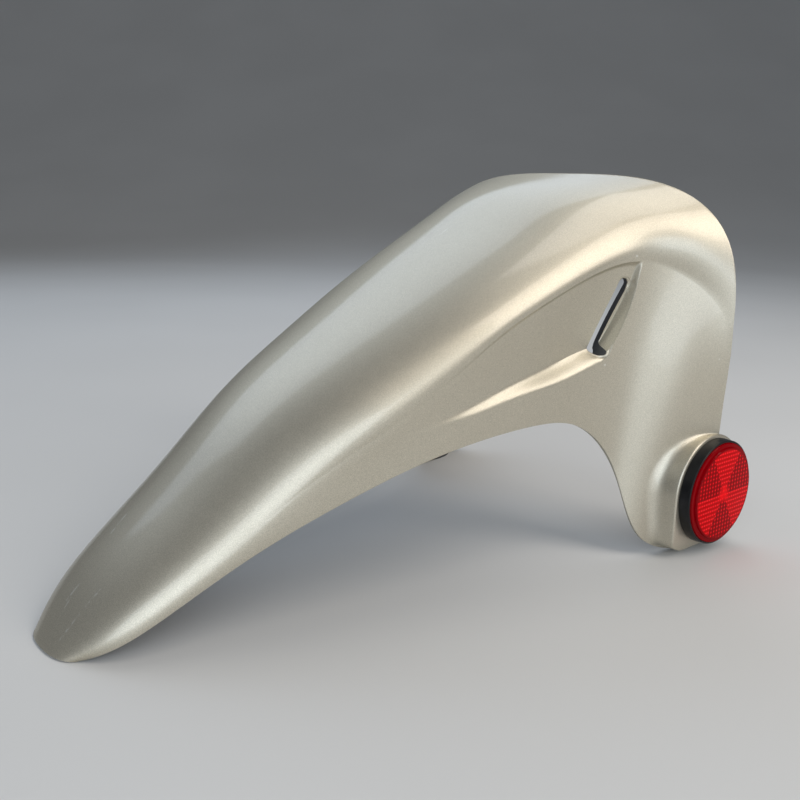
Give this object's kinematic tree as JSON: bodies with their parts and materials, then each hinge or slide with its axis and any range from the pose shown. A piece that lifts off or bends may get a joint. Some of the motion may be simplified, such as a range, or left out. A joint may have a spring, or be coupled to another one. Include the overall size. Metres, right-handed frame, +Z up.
{
  "type": "motorcycle fender",
  "caption": "Moulded motorcycle fender with a recessed side scoop, an air slot and a wrap-round lobe with a round red reflector on each side",
  "frame": {"origin": "on the floor, in the middle of the whole part's length and width", "axes": "nose to -X and rear edge to +X, the rider's left hand side to -Y, +Z up, as the part rests on its nose tip and its two lobes"},
  "size_m": [0.3918, 0.2592, 0.22],
  "materials": {
    "paint": "champagne silver metallic paint under clear coat on moulded plastic",
    "base_black": "semi-gloss black moulding",
    "lens_red": "clear red with a prism pattern behind the face",
    "steel": "zinc plated",
    "brass": "turned"
  },
  "bodies": {
    "root": {"fender_shell": "paint", "reflector_base_left": "base_black", "reflector_base_right": "base_black", "reflector_lens_left": "lens_red", "reflector_lens_right": "lens_red", "reflector_stud_left": "steel", "reflector_stud_right": "steel", "reflector_washer_left": "steel", "reflector_washer_right": "steel", "reflector_nut_left": "steel", "reflector_nut_right": "steel", "fixing_insert_left_upper": "brass", "fixing_insert_left_lower": "brass", "fixing_insert_right_upper": "brass", "fixing_insert_right_lower": "brass"}
  },
  "joints": []
}
